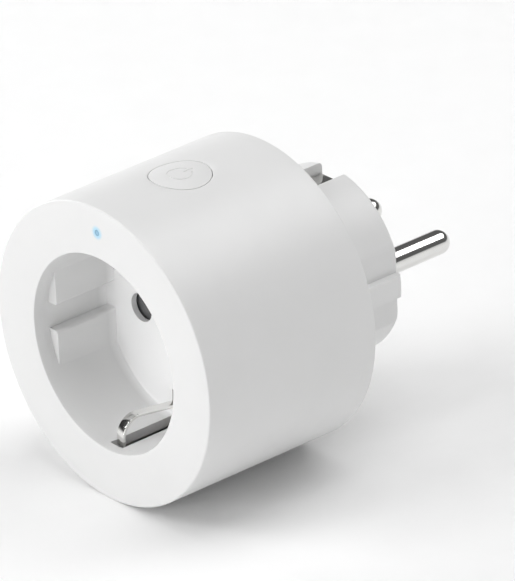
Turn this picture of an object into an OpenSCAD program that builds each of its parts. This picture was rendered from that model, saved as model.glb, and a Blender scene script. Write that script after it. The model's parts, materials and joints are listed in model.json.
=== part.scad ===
// Round two-pin smart plug with side earth contacts. Millimetres.
// +Z is up, the plug axis lies along Y, the open recess faces -Y and the wall is at y = 0.

/* [Body] */
// Outer diameter of the round body
body_d = 59.6; // [59:0.1:61]
// Depth of the body in front of the wall
body_depth = 40.5; // [40:0.5:44]
// Thickness of the sleeve wall
sleeve_wall = 2; // [1.6:0.1:2.2]
// Thickness of the flat front ring
face_thick = 2.2; // [2:0.1:2.4]
// Radius that rounds the outer rims
rim_round = 0.4; // [0.3:0.1:0.9]

/* [Recess] */
// Diameter of the recess that takes a plug
recess_d = 39.2; // [39:0.1:39.6]
// Depth of the recess
recess_depth = 17.5; // [17:0.1:17.6]
// Thickness of the recess wall
cup_wall = 1.8; // [1.5:0.1:2]
// Distance between the two flat guide faces
guide_gap = 34.1; // [33.8:0.1:34.4]
// Width of the groove between two guide blocks
guide_groove = 5.4; // [5:0.1:6]
// Diameter of the two holes in the recess floor
pin_hole_d = 5.75; // [5.4:0.05:6]

/* [Wall plug] */
// Diameter of the round boss that enters the wall socket
boss_d = 36.8; // [36.4:0.1:37]
// Depth of the boss
boss_depth = 17; // [16:0.5:17]
// Distance between the two pins
pin_pitch = 19; // [19:1:19]
// Diameter of a pin
pin_d = 4.8; // [4.6:0.1:4.8]
// Length of a pin beyond the boss
pin_reach = 19; // [18:0.5:19]

/* [Button and light] */
// Diameter of the round button
button_d = 12; // [11:0.1:12.4]
// Travel of the button
button_travel = 0.5; // [0.3:0.1:0.6]
// Height of the status light above the axis
light_height = 24.85; // [24.4:0.05:25]
// Diameter of the status light window
light_d = 1.2; // [1:0.1:1.4]

/* [Hidden] */
$fn = 64;
eps = 0.1;
play = 0.05;

body_r = body_d / 2;
inner_r = body_r - sleeve_wall;
front_y = -body_depth;
face_back = front_y + face_thick;
recess_r = recess_d / 2;
floor_y = front_y + recess_depth;
floor_thick = 1.2;
floor_back = floor_y + floor_thick;
cup_r = recess_r + cup_wall;
cup_flange_r = cup_r + 1.8;
cup_flange_thick = 1.2;

guide_x = guide_gap / 2;
guide_setback = 3.45;

clip_w = 2;
clip_slot_w = 3.4;
clip_t = 0.6;
clip_bend_r = 3.9;
clip_inner_z = 14.6;
clip_slope = 8;
clip_bend_y = front_y + 7;
clip_root_y = floor_back + 1;
clip_end_z = recess_r + 0.6;
clip_slot_z = 14.2;
clip_nose_r = clip_bend_r - clip_t;
clip_centre_z = clip_inner_z + clip_bend_r;
clip_blade_len = (clip_root_y - clip_bend_y) / cos(clip_slope);
clip_blade_end = [clip_root_y + clip_bend_r * sin(clip_slope),
    clip_centre_z - clip_bend_r * cos(clip_slope) + clip_blade_len * sin(clip_slope)];
strap_gap = 0.06;

cover_thick = 2.2;
cover_r = inner_r - play;
boss_r = boss_d / 2;
boss_wall = 2;
boss_hollow_r = 13.2;
boss_flat_x = 16.6;
boss_rib_w = 4.4;
boss_chamfer = 1;
strip_w = 6.4;
strip_t = 0.8;
strip_z = 15.2;
tower_r = 4.2;
tower_end = 6;
earth_hole_z = 10;
earth_bore_r = pin_d / 2 + play;
earth_tube_r = 3.2;
earth_depth = 15;

pin_x = pin_pitch / 2;
pin_r = pin_d / 2;
shank_r = pin_r - 0.2;
pin_head_r = 3.4;
pin_head_t = 1;

screw_circle_r = 24.9;
screw_angles = [45, 135, 225, 315];
post_r = 3.1;
post_bore_r = 1.05;
screw_r = 1.2;
screw_head_r = 2.3;
screw_head_t = 1.4;
screw_len = 10;

button_y = front_y / 2;
button_r = button_d / 2;
button_gap = 0.15;
button_flange_r = button_r + 0.8;
button_flange_z = 26;
plunger_r = 1.5;
plunger_top = 25.7;

control_z = 22.2;
control_t = 1;
control_top = control_z + control_t;
control_x = 14.4;
control_y = [-34.5, -4.4];
switch_half = 3;
switch_h = 1.7;
dome_z = control_top + 0.35;

power_z = -9.6;
power_t = 1.6;
power_top = power_z + power_t;
power_x = 23;
power_y = [-16.4, -4.6];

shutter_y = [floor_back + 0.3, floor_back + 2.1];
shutter_hub_r = 3.6;
shutter_arm_r = 13.2;
shutter_arm_w = 7;
axle_r = 1.5;
carrier_y = [floor_back + 2.4, floor_back + 4.4];
carrier_r = 14.6;
spring_r = 2.6;
spring_wire_r = 0.15;
spring_lift = 0.22;
spring_turns = 3;

contact_y = [carrier_y[1] + 0.2, -6];
contact_bore_r = pin_r + play;
contact_r = 3.3;
contact_slit = 0.6;
shroud_r = 4.8;
shroud_end = -9;
tail_w = 4;
tail_y = [-8.5, -6];

web_y = [-4.2, -3.4];
earth_half = 2.5;
lower_arm_z = -25.4;

relay_x = 10.2;
relay_y = [-16.2, -6.2];
relay_low_z = -23.2;
relay_gap = 1.3;
relay_pin_x = 8.6;
relay_pin_y = [-15, -10.4];
lead_r = 0.35;
main_can = [4, 12];
main_can_at = [-19.3, -12.2];
output_can = [3.15, 9];
output_can_at = [19.2, -13];
coil_at = [19.2, -7.2];
coil_flange_r = 2.3;
coil_flange_t = 1;
coil_r = 1.9;
coil_h = 7;
disc_x = -19.3;
disc_y = -6.7;
disc_r = 3.8;
disc_half = 1.1;
disc_lift = 5;
resistor_r = 1.6;
resistor_y = -11;
resistor_z = power_z - 2.1;
resistor_body_x = [12.6, 19.6];
resistor_lead_x = [11.8, 20.4];
rectifier_x = [-17.4, -12.6];
rectifier_y = [-13.4, -8.6];
rectifier_h = 1.9;
rectifier_leg = 0.8;
rectifier_leg_y = [-12.4, -10.4];

link_x = 13.6;
header_h = 2.4;
header_pin_r = 0.32;
radio_x = 7.6;
radio_y = [-16.2, -4.8];
radio_top = control_top + 0.8;
shield_x = [-5.4, 3.4];
shield_y = [-13.2, -5.6];
shield_h = 1.8;
well_r = 2.3;
well_floor = 0.3;
well_lid = 0.4;
led_half = 1.5;
led_y = [-33.4, -32];
led_dome_r = 0.9;
led_dome_len = 0.7;
pipe_tail_r = 1.3;

// ---------- helpers ----------

// Cylinder along Y between two planes.
module ycyl(r, ya, yb, x = 0, z = 0) {
    translate([x, ya, z]) rotate([-90, 0, 0]) cylinder(r = r, h = yb - ya);
}

// Cone along Y between two planes.
module ycone(ra, rb, ya, yb, x = 0, z = 0) {
    translate([x, ya, z]) rotate([-90, 0, 0]) cylinder(r1 = ra, r2 = rb, h = yb - ya);
}

// Cylinder across the part between two values of x.
module xcyl(r, xs, y, z) {
    translate([xs[0], y, z]) rotate([0, 90, 0]) cylinder(r = r, h = xs[1] - xs[0]);
}

// Upright cylinder between two heights.
module zcyl(r, za, zb, x = 0, y = 0) {
    translate([x, y, za]) cylinder(r = r, h = zb - za);
}

// Box between two corners.
module block(xs, ys, zs) {
    translate([xs[0], ys[0], zs[0]])
        cube([xs[1] - xs[0], ys[1] - ys[0], zs[1] - zs[0]]);
}

// Turns a profile of radius and y about the plug axis.
module turned() {
    rotate([-90, 0, 0]) rotate_extrude() children();
}

// Extrudes a profile of y and z to a width centred on x = 0.
module sideways(w) {
    translate([-w / 2, 0, 0]) rotate([90, 0, 90]) linear_extrude(w) children();
}

// Copies its children to the upper and the lower side.
module below() {
    mirror([0, 0, 1]) children();
}

// Repeats its children at the four screw places.
module at_screws() {
    for (a = screw_angles)
        translate([screw_circle_r * cos(a), 0, screw_circle_r * sin(a)]) children();
}

// ---------- casing ----------

// Points on an arc of radius r about [x, y], from one angle to another.
function arc(x, y, r, from, to, steps = 6) =
    [for (i = [0 : steps]) let (t = from + (to - from) * i / steps) [x + r * cos(t), y + r * sin(t)]];

// Ring section of the shell: sleeve, flat face and two rounded rims.
module shell_section() {
    rim_x = body_r - rim_round;
    polygon(concat(
        [[recess_r, face_back], [recess_r, front_y]],
        arc(rim_x, front_y + rim_round, rim_round, -90, 0),
        arc(rim_x, -rim_round, rim_round, 0, 90),
        [[inner_r, 0], [inner_r, face_back]]));
}

module screw_posts() {
    at_screws() ycyl(post_r, face_back - eps, -cover_thick - play);
}

module outer_shell() {
    color([0.93, 0.93, 0.93]) difference() {
        union() {
            turned() shell_section();
            screw_posts();
        }
        at_screws() ycyl(post_bore_r, -cover_thick - screw_len, 0);
        zcyl(button_r, 0, body_r + eps, 0, button_y);
        ycyl(light_d / 2 + play, front_y - eps, face_back + eps, 0, light_height);
    }
}

// Two flat-faced blocks on one side of the recess, with a groove between them.
module guide_pair() {
    difference() {
        intersection() {
            ycyl(recess_r + eps, front_y + guide_setback, floor_y + eps);
            block([guide_x, recess_r + eps], [front_y, floor_y + eps], [-recess_r, recess_r]);
        }
        block([guide_x - eps, recess_r], [front_y, floor_y], [-guide_groove / 2, guide_groove / 2]);
    }
}

module cup_section() {
    translate([recess_r, face_back]) square([cup_wall, floor_back - face_back]);
    translate([recess_r, face_back]) square([cup_flange_r - recess_r, cup_flange_thick]);
    translate([0, floor_y]) square([recess_r + eps, floor_thick]);
}

// Opening in the cup wall and floor for one earth clip.
module clip_slot() {
    block([-clip_slot_w / 2, clip_slot_w / 2], [face_back - eps, floor_back + eps],
        [recess_r - 1, cup_r + 0.4]);
    block([-clip_slot_w / 2, clip_slot_w / 2], [floor_y - eps, floor_back + eps],
        [clip_slot_z, cup_r + 0.4]);
}

module socket_cup() {
    color([0.95, 0.95, 0.95]) difference() {
        union() {
            turned() cup_section();
            guide_pair();
            mirror([1, 0, 0]) guide_pair();
        }
        for (s = [-1, 1]) ycyl(pin_hole_d / 2, floor_y - eps, floor_back + eps, s * pin_x);
        clip_slot();
        below() clip_slot();
        at_screws() ycyl(post_r + 0.2, face_back - eps, face_back + cup_flange_thick + eps);
    }
}

module boss_section() {
    boss_end = boss_depth;
    polygon([[boss_hollow_r, -cover_thick], [cover_r, -cover_thick], [cover_r, 0], [boss_r, 0],
        [boss_r, boss_end - boss_chamfer], [boss_r - boss_chamfer, boss_end], [0, boss_end],
        [0, boss_end - boss_wall], [boss_hollow_r, boss_end - boss_wall]]);
}

// What is cut from one side of the boss so that it clears the guide blocks of a socket.
module boss_side_cut() {
    for (s = [-1, 1])
        translate([boss_flat_x, 0, s > 0 ? boss_rib_w / 2 : -boss_rib_w / 2 - boss_r])
            cube([boss_r, boss_depth + eps, boss_r]);
}

// Channel for a rear earth strip, with its way through the cover.
module strip_channel() {
    half = strip_w / 2 + 0.2;
    block([-half, half], [0, boss_depth + eps], [strip_z, boss_r + eps]);
    block([-half, half], [-cover_thick - eps, eps], [strip_z, strip_z + strip_t + play]);
}

module rear_cover() {
    color([0.92, 0.92, 0.92]) difference() {
        union() {
            turned() boss_section();
            for (s = [-1, 1]) ycyl(tower_r, tower_end, boss_depth - boss_wall + eps, s * pin_x);
            ycyl(tower_r, 0, boss_depth - boss_wall + eps, 0, earth_hole_z);
        }
        boss_side_cut();
        mirror([1, 0, 0]) boss_side_cut();
        strip_channel();
        below() strip_channel();
        for (s = [-1, 1]) ycyl(shank_r + play, 0, boss_depth + eps, s * pin_x);
        ycyl(earth_tube_r + play, -eps, boss_depth + eps, 0, earth_hole_z);
        at_screws() {
            ycyl(screw_r + 0.3, -cover_thick - eps, eps);
            ycone(screw_r + 0.3, screw_head_r + 0.3, -screw_head_t, 0.01);
        }
    }
}

module case_screws() {
    recess_half = 1.3;
    recess_w = 0.25;
    recess_in = 0.9;
    color([0.75, 0.75, 0.77]) at_screws() {
        difference() {
            ycone(screw_r, screw_head_r, -screw_head_t - 0.2, -0.2);
            for (a = [0, 90])
                rotate([0, a, 0])
                    block([-recess_half, recess_half], [-recess_in, 0], [-recess_w, recess_w]);
        }
        ycyl(post_bore_r, -screw_len, -screw_head_t - 0.2);
    }
}

// ---------- pins and earth path ----------

module wall_pin(x) {
    tip_y = boss_depth + pin_reach;
    color([0.78, 0.78, 0.76]) union() {
        ycyl(shank_r, tower_end - strip_t - pin_head_t, boss_depth + eps, x);
        ycyl(pin_r, boss_depth, tip_y - pin_r, x);
        translate([x, tip_y - pin_r, 0]) sphere(r = pin_r);
        ycyl(pin_head_r, tower_end - strip_t - pin_head_t, tower_end - strip_t, x);
    }
}

module wall_pin_left() { wall_pin(-pin_x); }
module wall_pin_right() { wall_pin(pin_x); }

module rear_strip() {
    color([0.8, 0.8, 0.78]) union() {
        block([-strip_w / 2, strip_w / 2], [web_y[1], boss_depth - 0.6],
            [strip_z, strip_z + strip_t]);
        sideways(strip_w) polygon([[boss_depth - 0.6, strip_z + strip_t], [boss_depth - 0.6, strip_z],
            [boss_depth - 0.1, strip_z], [boss_depth - 0.1, strip_z + 0.3]]);
    }
}

module rear_earth_strip_upper() { rear_strip(); }
module rear_earth_strip_lower() { below() rear_strip(); }

module earth_socket_tube() {
    color([0.8, 0.78, 0.7]) difference() {
        ycyl(earth_tube_r, web_y[1], boss_depth - 0.5, 0, earth_hole_z);
        ycyl(earth_bore_r, boss_depth - 0.5 - earth_depth, boss_depth, 0, earth_hole_z);
    }
}

// Upright web behind the contacts, with an upper and a lower arm that reach the clips.
module earth_strap() {
    arm_z = clip_blade_end[1];
    front = clip_blade_end[0] + strap_gap;
    color([0.72, 0.6, 0.35]) union() {
        block([-earth_half, earth_half], web_y, [lower_arm_z, arm_z + strip_t]);
        block([-earth_half, earth_half], [front, web_y[1]], [arm_z, arm_z + strip_t]);
        block([-earth_half, earth_half], [front, web_y[1]], [lower_arm_z, lower_arm_z + strip_t]);
        block([-earth_half, earth_half], [front, front + strip_t], [lower_arm_z, -arm_z + 0.8]);
    }
}

// Bent strip: a sloping blade, a round nose and an end that dips into the wall.
module clip_section() {
    difference() {
        translate([clip_bend_y, clip_centre_z]) circle(r = clip_bend_r);
        translate([clip_bend_y, clip_centre_z]) circle(r = clip_nose_r);
        translate([clip_bend_y - clip_bend_r - eps, clip_centre_z])
            square([2 * clip_bend_r + 2 * eps, clip_bend_r + eps]);
        translate([clip_bend_y, clip_centre_z]) rotate(clip_slope)
            translate([0, -clip_bend_r - eps]) square([clip_bend_r + 1, clip_bend_r + 1]);
    }
    translate([clip_bend_y, clip_centre_z]) rotate(clip_slope)
        translate([0, -clip_bend_r]) square([clip_blade_len, clip_t]);
    translate([clip_bend_y - clip_bend_r, clip_centre_z])
        square([clip_t, clip_end_z - clip_centre_z]);
}

module earth_clip() {
    color([0.82, 0.81, 0.79]) sideways(clip_w) clip_section();
}

module earth_clip_upper() { earth_clip(); }
module earth_clip_lower() { below() earth_clip(); }

// ---------- shutter and contacts ----------

module shutter() {
    color([0.25, 0.25, 0.27]) difference() {
        union() {
            ycyl(shutter_hub_r, shutter_y[0], shutter_y[1]);
            intersection() {
                ycyl(shutter_arm_r, shutter_y[0], shutter_y[1]);
                block([-shutter_arm_r, shutter_arm_r], shutter_y,
                    [-shutter_arm_w / 2, shutter_arm_w / 2]);
            }
        }
        ycyl(axle_r + play, shutter_y[0] - eps, shutter_y[1] + eps);
    }
}

function spring_point(a, s) = [
    (spring_r + spring_wire_r * cos(s)) * cos(a),
    a / 360 * spring_wire_r * 2.2 + spring_wire_r * sin(s),
    (spring_r + spring_wire_r * cos(s)) * sin(a)];

module shutter_spring() {
    sides = 8;
    rings = spring_turns * 20;
    points = [for (i = [0 : rings], j = [0 : sides - 1])
        spring_point(i * 18, j * 360 / sides)];
    walls = [for (i = [0 : rings - 1], j = [0 : sides - 1])
        [i * sides + j, i * sides + (j + 1) % sides,
         (i + 1) * sides + (j + 1) % sides, (i + 1) * sides + j]];
    start_cap = [[for (j = [0 : sides - 1]) sides - 1 - j]];
    end_cap = [[for (j = [0 : sides - 1]) rings * sides + j]];
    color([0.6, 0.6, 0.62]) translate([0, carrier_y[0] + spring_lift, 0])
        polyhedron(points, concat(walls, start_cap, end_cap));
}

// Plate behind the recess floor: shutter axle, spring pocket and two contact shrouds.
module contact_carrier() {
    color([0.88, 0.88, 0.86]) difference() {
        union() {
            ycyl(carrier_r, carrier_y[0], carrier_y[1]);
            for (s = [-1, 1]) ycyl(shroud_r, carrier_y[1] - eps, shroud_end, s * pin_x);
        }
        difference() {
            ycyl(spring_r + 0.7, carrier_y[0] - eps, carrier_y[1] - 0.5);
            ycyl(axle_r, carrier_y[0] - 2 * eps, carrier_y[1]);
        }
        for (s = [-1, 1]) {
            ycyl(pin_hole_d / 2, carrier_y[0] - eps, carrier_y[1] + eps, s * pin_x);
            ycyl(contact_r + 0.2, carrier_y[1], shroud_end + eps, s * pin_x);
        }
    }
    color([0.88, 0.88, 0.86]) ycyl(axle_r, floor_back, carrier_y[1] - 0.4);
}

module contact(x) {
    color([0.78, 0.6, 0.38]) difference() {
        union() {
            ycyl(contact_r, contact_y[0], contact_y[1], x);
            block([x - tail_w / 2, x + tail_w / 2], tail_y, [-contact_r - 0.6, 0]);
            block([x - tail_w / 2, x + tail_w / 2], [tail_y[0], tail_y[0] + strip_t],
                [power_z - 1, 0]);
        }
        ycyl(contact_bore_r, contact_y[0] - eps, contact_y[1] + eps, x);
        block([x - contact_slit / 2, x + contact_slit / 2],
            [contact_y[0] - eps, tail_y[0] - 0.5], [-contact_r - eps, contact_r + eps]);
    }
}

module contact_left() { contact(-pin_x); }
module contact_right() { contact(pin_x); }

// Strap from the riveted end of a wall pin to the edge of the power board.
module busbar(x) {
    half = 2.5;
    low_z = -4.6;
    foot_y = power_y[1] - 1;
    color([0.74, 0.5, 0.3]) difference() {
        union() {
            block([x - half, x + half], [tower_end - strip_t, tower_end], [low_z, 3.4]);
            block([x - half, x + half], [foot_y, tower_end], [low_z, low_z + strip_t]);
            block([x - half, x + half], [foot_y, foot_y + strip_t], [power_top, low_z + strip_t]);
        }
        ycyl(shank_r + play, tower_end - 1, tower_end + eps, x);
    }
}

module busbar_left() { busbar(-pin_x); }
module busbar_right() { busbar(pin_x); }

// ---------- electronics ----------

module power_board() {
    color([0.1, 0.4, 0.22]) difference() {
        block([-power_x, power_x], power_y, [power_z, power_top]);
        for (s = [-1, 1])
            block([s * pin_x - tail_w / 2 - 0.1, s * pin_x + tail_w / 2 + 0.1],
                [tail_y[0] - 0.1, tail_y[0] + strip_t + 0.1], [power_z - eps, power_top + eps]);
    }
}

module relay() {
    color([0.12, 0.2, 0.5]) union() {
        block([-relay_x, relay_x], relay_y, [relay_low_z, power_z - relay_gap]);
        for (x = [-relay_pin_x, relay_pin_x], y = relay_pin_y)
            block([x - 1, x + 1], [y - 0.4, y + 0.4], [power_z - relay_gap - eps, power_z]);
    }
}

// Standing capacitor: a case on a slightly narrower rubber foot.
module can(size, at) {
    foot_h = 0.4;
    union() {
        zcyl(size[0], power_top + foot_h, power_top + size[1], at[0], at[1]);
        zcyl(size[0] - 0.5, power_top, power_top + foot_h + eps, at[0], at[1]);
    }
}

module main_capacitor() {
    color([0.1, 0.1, 0.12]) can(main_can, main_can_at);
}

module output_capacitor() {
    color([0.15, 0.15, 0.3]) can(output_can, output_can_at);
}

module filter_inductor() {
    color([0.3, 0.28, 0.26]) union() {
        for (low = [0, coil_h - coil_flange_t])
            zcyl(coil_flange_r, power_top + low, power_top + low + coil_flange_t,
                coil_at[0], coil_at[1]);
        zcyl(coil_r, power_top + eps, power_top + coil_h - eps, coil_at[0], coil_at[1]);
    }
}

module varistor() {
    color([0.15, 0.35, 0.65]) union() {
        ycyl(disc_r, disc_y - disc_half, disc_y + disc_half, disc_x, power_top + disc_lift);
        for (s = [-1, 1]) zcyl(lead_r, power_top, power_top + disc_lift - 2, disc_x + 2 * s, disc_y);
    }
}

module fuse_resistor() {
    color([0.45, 0.6, 0.5]) union() {
        xcyl(resistor_r, resistor_body_x, resistor_y, resistor_z);
        xcyl(lead_r, resistor_lead_x + [-lead_r, lead_r], resistor_y, resistor_z);
        for (x = resistor_lead_x) zcyl(lead_r, resistor_z - 0.2, power_z, x, resistor_y);
    }
}

module bridge_rectifier() {
    color([0.1, 0.1, 0.1]) union() {
        block(rectifier_x, rectifier_y, [power_z - rectifier_h, power_z - 0.2]);
        for (x = [rectifier_x[0] - rectifier_leg, rectifier_x[1]], y = rectifier_leg_y)
            block([x, x + rectifier_leg], [y, y + rectifier_leg],
                [power_z - rectifier_leg, power_z]);
    }
}

// Long pin header that joins the two boards.
module board_link() {
    half = 0.6;
    pin_rows = [-8, -6.8, -5.6];
    body_y = [pin_rows[0] - 0.7, pin_rows[2] + 0.7];
    color([0.16, 0.16, 0.17]) union() {
        for (low = [power_top, control_z - header_h])
            block([link_x - half, link_x + half], body_y, [low, low + header_h]);
        for (y = pin_rows) zcyl(header_pin_r, power_top, control_z, link_x, y);
    }
}

module control_board() {
    color([0.1, 0.4, 0.22])
        block([-control_x, control_x], control_y, [control_z, control_top]);
}

module wireless_module() {
    color([0.08, 0.16, 0.3]) 
        block([-radio_x, radio_x], radio_y, [control_top, radio_top]);
}

module wireless_shield() {
    color([0.8, 0.8, 0.8])
        block(shield_x, shield_y, [radio_top, radio_top + shield_h]);
}

// Square switch body with a round well for its dome and plunger.
module tact_switch() {
    top = control_top + switch_h;
    color([0.2, 0.2, 0.2]) difference() {
        block([-switch_half, switch_half], [button_y - switch_half, button_y + switch_half],
            [control_top, top]);
        zcyl(well_r, control_top + well_floor, top - well_lid, 0, button_y);
        zcyl(plunger_r + 0.1, top - well_lid - eps, top + eps, 0, button_y);
    }
}

module switch_dome() {
    color([0.8, 0.8, 0.8])
        translate([0, button_y, control_top + well_floor])
            rotate_extrude()
                polygon([[0.9, 0.25], [1.9, 0], [2.1, 0], [2.1, 0.08], [1.95, 0.08], [0.95, 0.33],
                    [0, 0.33], [0, 0.25]]);
}

module switch_plunger() {
    color([0.3, 0.3, 0.3]) zcyl(plunger_r, dome_z + 0.3 + button_travel, plunger_top, 0, button_y);
}

// Cap with a top that follows the round body, a flange inside and a short stem.
module button_cap() {
    color([0.93, 0.93, 0.93]) union() {
        intersection() {
            zcyl(button_r - button_gap, button_flange_z, body_r + 1, 0, button_y);
            ycyl(body_r, button_y - button_d, button_y + button_d);
        }
        intersection() {
            zcyl(button_flange_r, button_flange_z, body_r, 0, button_y);
            ycyl(inner_r - 0.25, button_y - button_d, button_y + button_d);
        }
        zcyl(plunger_r, plunger_top, button_flange_z + eps, 0, button_y);
    }
}

module status_led() {
    color([0.6, 0.8, 1]) union() {
        block([-led_half, led_half], led_y, [control_top, light_height + 1]);
        ycyl(led_dome_r, led_y[0] - led_dome_len, led_y[0] + eps, 0, light_height);
    }
}

module light_pipe() {
    color([0.5, 0.75, 0.95]) union() {
        ycyl(light_d / 2, front_y, face_back + eps, 0, light_height);
        ycyl(pipe_tail_r, face_back, led_y[0] - led_dome_len - 0.1, 0, light_height);
    }
}

// ---------- one line for each node ----------

outer_shell();
socket_cup();
rear_cover();
case_screws();
wall_pin_left();
wall_pin_right();
rear_earth_strip_upper();
rear_earth_strip_lower();
earth_socket_tube();
earth_strap();
earth_clip_upper();
earth_clip_lower();
shutter();
shutter_spring();
contact_carrier();
contact_left();
contact_right();
busbar_left();
busbar_right();
power_board();
relay();
main_capacitor();
output_capacitor();
filter_inductor();
varistor();
fuse_resistor();
bridge_rectifier();
board_link();
control_board();
wireless_module();
wireless_shield();
tact_switch();
switch_dome();
switch_plunger();
button_cap();
status_led();
light_pipe();
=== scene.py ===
"""Finished look of a round smart plug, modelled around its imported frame."""

import json
import math

import bmesh
import bpy
from bpy.props import FloatProperty, FloatVectorProperty, PointerProperty
from mathutils import Matrix, Vector


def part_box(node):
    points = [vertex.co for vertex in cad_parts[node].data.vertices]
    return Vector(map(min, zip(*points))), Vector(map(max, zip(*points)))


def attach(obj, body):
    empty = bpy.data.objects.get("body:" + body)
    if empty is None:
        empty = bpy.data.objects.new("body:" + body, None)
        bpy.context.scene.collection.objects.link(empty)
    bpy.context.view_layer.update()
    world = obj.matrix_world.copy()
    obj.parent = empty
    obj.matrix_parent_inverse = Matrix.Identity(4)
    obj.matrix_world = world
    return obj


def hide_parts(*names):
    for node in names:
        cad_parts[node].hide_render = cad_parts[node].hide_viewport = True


bl_info = {
    "name": "Round smart plug",
    "version": (1, 0, 0),
    "blender": (4, 5, 0),
    "location": "3D View > Sidebar > Smart plug",
    "description": "Builds the casing, metal parts and electronics of a round smart plug",
    "category": "Object",
}

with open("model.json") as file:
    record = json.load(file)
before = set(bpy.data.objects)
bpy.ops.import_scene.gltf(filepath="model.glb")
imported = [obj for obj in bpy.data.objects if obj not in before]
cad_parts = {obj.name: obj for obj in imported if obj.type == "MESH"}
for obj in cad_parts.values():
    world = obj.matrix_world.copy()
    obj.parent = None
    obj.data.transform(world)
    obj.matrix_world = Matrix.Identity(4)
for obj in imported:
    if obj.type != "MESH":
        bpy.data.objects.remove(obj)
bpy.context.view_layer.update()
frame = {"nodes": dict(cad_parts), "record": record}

MM = 0.001
SHELL_LOW, SHELL_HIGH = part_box("outer_shell")
CUP_LOW, CUP_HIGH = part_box("socket_cup")
COVER_LOW, COVER_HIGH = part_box("rear_cover")
PIN_LOW, PIN_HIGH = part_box("wall_pin_right")
CAP_LOW, CAP_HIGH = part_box("button_cap")
WINDOW_LOW, WINDOW_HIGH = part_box("light_pipe")
CLIP_LOW, CLIP_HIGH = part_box("earth_clip_upper")
STRIP_LOW, STRIP_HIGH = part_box("rear_earth_strip_upper")
TUBE_LOW, TUBE_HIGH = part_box("earth_socket_tube")

FRONT = SHELL_LOW.y
BODY_R = SHELL_HIGH.z
FACE_BACK = CUP_LOW.y
FLOOR_BACK = CUP_HIGH.y
BOSS_END = COVER_HIGH.y
BUTTON_Y = (CAP_LOW.y + CAP_HIGH.y) / 2
LIGHT_Z = (WINDOW_LOW.z + WINDOW_HIGH.z) / 2
PIN_X = (PIN_LOW.x + PIN_HIGH.x) / 2
EARTH_Z = (TUBE_LOW.z + TUBE_HIGH.z) / 2

TINY = 0.01 * MM
ROUND = 160
FINE_ROUND = 192
SMALL_ROUND = 64
PAST = 1 * MM  # how far a cutting tool goes beyond the surface that it cuts

FLIP_X = Matrix.Scale(-1, 4, (1, 0, 0))
FLIP_Z = Matrix.Scale(-1, 4, (0, 0, 1))
HALVES = (Matrix.Identity(4), FLIP_Z)
QUARTERS = (Matrix.Identity(4), FLIP_X, FLIP_Z, FLIP_X @ FLIP_Z)

MATERIALS = {}
FINISH_OF_SLOT = {
    "casing": "white", "face": "cup", "pin_metal": "nickel", "clip_metal": "nickel",
    "contact_bronze": "bronze", "strap_brass": "brass", "copper_bar": "copper",
    "screw_steel": "steel", "spring_steel": "steel", "carrier_plastic": "natural",
    "dark_plastic": "black", "shutter_plastic": "shutter", "board_green": "green",
    "module_blue": "module", "relay_case": "relay", "capacitor_sleeve": "sleeve",
    "ferrite": "ferrite", "varistor_coat": "varistor", "resistor_body": "resistor",
    "chip_epoxy": "black", "shield_tin": "tin", "light_clear": "light",
    "led_body": "natural",
}


# ---------- sizes and colours that a user may change ----------

def length(name, text, default):
    """A length property, with its default in millimetres."""
    return FloatProperty(name=name, description=text, default=default * MM, unit="LENGTH", precision=5)


def degrees(name, text, default):
    """An angle property, with its default in degrees."""
    return FloatProperty(name=name, description=text, default=math.radians(default), subtype="ANGLE")


def power(name, text, default):
    """The power of a light in watts."""
    return FloatProperty(name=name, description=text, default=default, unit="POWER")


def colour(name, text, default):
    """A colour property."""
    return FloatVectorProperty(name=name, description=text, default=default, size=3,
                               min=0, max=1, subtype="COLOR")


class CasingSizes(bpy.types.PropertyGroup):
    """Sizes of the white mouldings."""
    recess_r: length("Recess radius", "Radius of the recess that takes a plug", 19.6)
    recess_depth: length("Recess depth", "Depth of the recess floor behind the face", 17.5)
    sleeve_wall: length("Sleeve wall", "Thickness of the round sleeve", 2)
    outer_fillet: length("Outer fillet", "Radius on the outer edge of the face", 0.35)
    recess_fillet: length("Recess lip", "Radius on the edge of the recess", 0.2)
    floor_fillet: length("Floor fillet", "Radius where the recess wall meets its floor", 0.3)
    guide_x: length("Guide distance", "Distance from the axis to a flat guide face", 17.05)
    guide_setback: length("Guide setback", "Depth of the guide blocks behind the face", 3.45)
    groove_half: length("Groove half width", "Half of the gap between two guide blocks", 2.7)
    guide_fillet: length("Guide fillet", "Radius along the groove edge of a block", 0.55)
    pin_hole_r: length("Pin hole radius", "Radius of the holes in the recess floor", 2.875)
    slot_half: length("Clip slot half width", "Half of the width of a clip slot", 1.7)
    slot_z: length("Clip slot start", "Height at which a slot in the floor starts", 14.2)
    post_r: length("Post radius", "Radius of the four screw posts", 3.1)
    post_circle: length("Post circle", "Distance from the axis to a screw post", 24.9)
    hole_r: length("Button hole radius", "Radius of the hole for the button", 6)
    edge: length("Edge break", "Radius of small broken edges", 0.12)
    boss_r: length("Boss radius", "Radius of the boss that enters the wall socket", 18.4)
    boss_wall: length("Boss end wall", "Thickness of the boss at its end", 2)
    boss_hollow_r: length("Boss hollow", "Inner radius of the boss", 13.2)
    boss_round: length("Boss rounding", "Radius on the end of the boss", 0.9)
    boss_root: length("Boss root", "Radius where the boss meets the cover", 0.5)
    flat_x: length("Boss flat", "Distance from the axis to a flat of the boss", 16.6)
    rib_half: length("Rib half width", "Half of the width of the rib between two flats", 2.2)
    channel_half: length("Channel half width", "Half width of an earth channel", 3.4)
    tower_r: length("Tower radius", "Radius of the towers that hold the pins", 4.2)
    tower_end: length("Tower end", "Place of the inner end of the towers", 6)


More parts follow.
